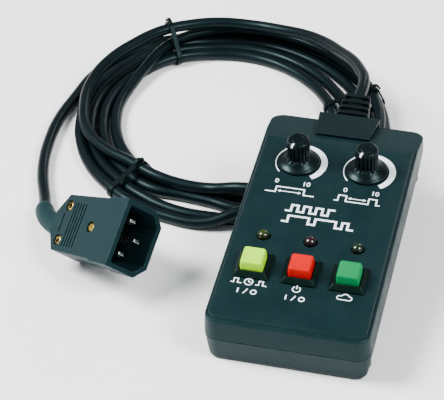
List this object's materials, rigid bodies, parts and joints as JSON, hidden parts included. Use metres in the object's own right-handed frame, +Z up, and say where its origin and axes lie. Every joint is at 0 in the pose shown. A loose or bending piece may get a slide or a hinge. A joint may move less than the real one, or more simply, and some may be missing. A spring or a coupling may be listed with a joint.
{
  "type": "wired timer remote control",
  "caption": "Hand-held wired timer remote with dials, indicator lamps and push buttons, a hanger clip, and a coiled lead ending in a rewirable appliance inlet plug.",
  "frame": {"origin": "middle of the hand box with its strain relief, on the surface that it lies on", "axes": "+Y from the button end of the box towards its cable end, +Z up; the box leans back 9 degrees with its cable end on the coil, and the coil lies towards -X"},
  "size_m": [0.1733, 0.2429, 0.051],
  "materials": {
    "shell_black": "fine spark-eroded texture, black",
    "knob_black": "glossy black",
    "white_mark": "white filled mark",
    "bright_steel": "zinc plated",
    "pot_case": "plain pressed metal",
    "timer_lamp": "translucent yellow lens, unlit",
    "power_lamp": "translucent red lens, unlit",
    "fog_lamp": "translucent green lens, unlit",
    "timer_cap": "satin yellow",
    "power_cap": "satin red",
    "fog_cap": "satin green",
    "bezel_black": "satin black",
    "switch_black": "moulded black",
    "board_green": "solder mask",
    "chip_black": "moulded epoxy",
    "terminal_green": "moulded green",
    "cord_black": "smooth flexible PVC, satin",
    "relief_black": "moulded flexible PVC",
    "boot_black": "moulded flexible PVC",
    "tie_black": "plastic coated wire",
    "clip_black": "black powder coat",
    "plug_black": "satin moulded black",
    "insert_black": "moulded black",
    "pin_nickel": "nickel plated brass",
    "screw_brass": "bright brass"
  },
  "bodies": {
    "remote": {"upper_shell": "shell_black", "lower_shell": "shell_black", "left_dial_potentiometer": "pot_case", "right_dial_potentiometer": "pot_case", "timer_lamp": "timer_lamp", "timer_button_bezel": "bezel_black", "timer_button_switch": "switch_black", "power_lamp": "power_lamp", "power_button_bezel": "bezel_black", "power_button_switch": "switch_black", "fog_lamp": "fog_lamp", "fog_button_bezel": "bezel_black", "fog_button_switch": "switch_black", "circuit_board": "board_green", "timer_chip": "chip_black", "lead_terminal": "terminal_green", "lead_tail": "cord_black", "case_screw_1": "bright_steel", "case_screw_2": "bright_steel", "case_screw_3": "bright_steel", "case_screw_4": "bright_steel", "strain_relief": "relief_black", "hanger_clip": "clip_black", "hanger_screw_1": "bright_steel", "hanger_screw_2": "bright_steel", "cord_coil": "cord_black", "coil_tie_1": "tie_black", "coil_tie_2": "tie_black", "coil_tie_3": "tie_black", "box_lead": "cord_black", "plug_lead": "cord_black", "plug_cover": "plug_black", "plug_base": "plug_black", "plug_insert": "insert_black", "plug_pin_live": "pin_nickel", "plug_pin_earth": "pin_nickel", "plug_pin_neutral": "pin_nickel", "plug_boot": "boot_black", "plug_screw_1": "screw_brass", "plug_screw_2": "screw_brass", "plug_screw_3": "screw_brass"},
    "left_dial": {"left_dial_knob": "knob_black", "left_dial_pointer": "white_mark", "left_dial_shaft": "bright_steel"},
    "right_dial": {"right_dial_knob": "knob_black", "right_dial_pointer": "white_mark", "right_dial_shaft": "bright_steel"},
    "timer_button": {"timer_button_cap": "timer_cap"},
    "power_button": {"power_button_cap": "power_cap"},
    "fog_button": {"fog_button_cap": "fog_cap"}
  },
  "joints": [
    {"name": "left_dial_turn", "type": "hinge", "parent": "remote", "child": "left_dial", "pos_m": [-0.0142, 0.01614, 0.04363], "axis": [0, 0.1564, -0.9877], "range_deg": [0, 300]},
    {"name": "right_dial_turn", "type": "hinge", "parent": "remote", "child": "right_dial", "pos_m": [0.0142, 0.01614, 0.04363], "axis": [0, 0.1564, -0.9877], "range_deg": [0, 300]},
    {"name": "timer_button_press", "type": "slide", "parent": "remote", "child": "timer_button", "axis": [0, 0.1564, -0.9877], "range_m": [0, 0.002], "stiffness_N_per_m": 700, "springref_m": -0.001},
    {"name": "power_button_press", "type": "slide", "parent": "remote", "child": "power_button", "axis": [0, 0.1564, -0.9877], "range_m": [0, 0.002], "stiffness_N_per_m": 700, "springref_m": -0.001},
    {"name": "fog_button_press", "type": "slide", "parent": "remote", "child": "fog_button", "axis": [0, 0.1564, -0.9877], "range_m": [0, 0.002], "stiffness_N_per_m": 700, "springref_m": -0.001}
  ]
}
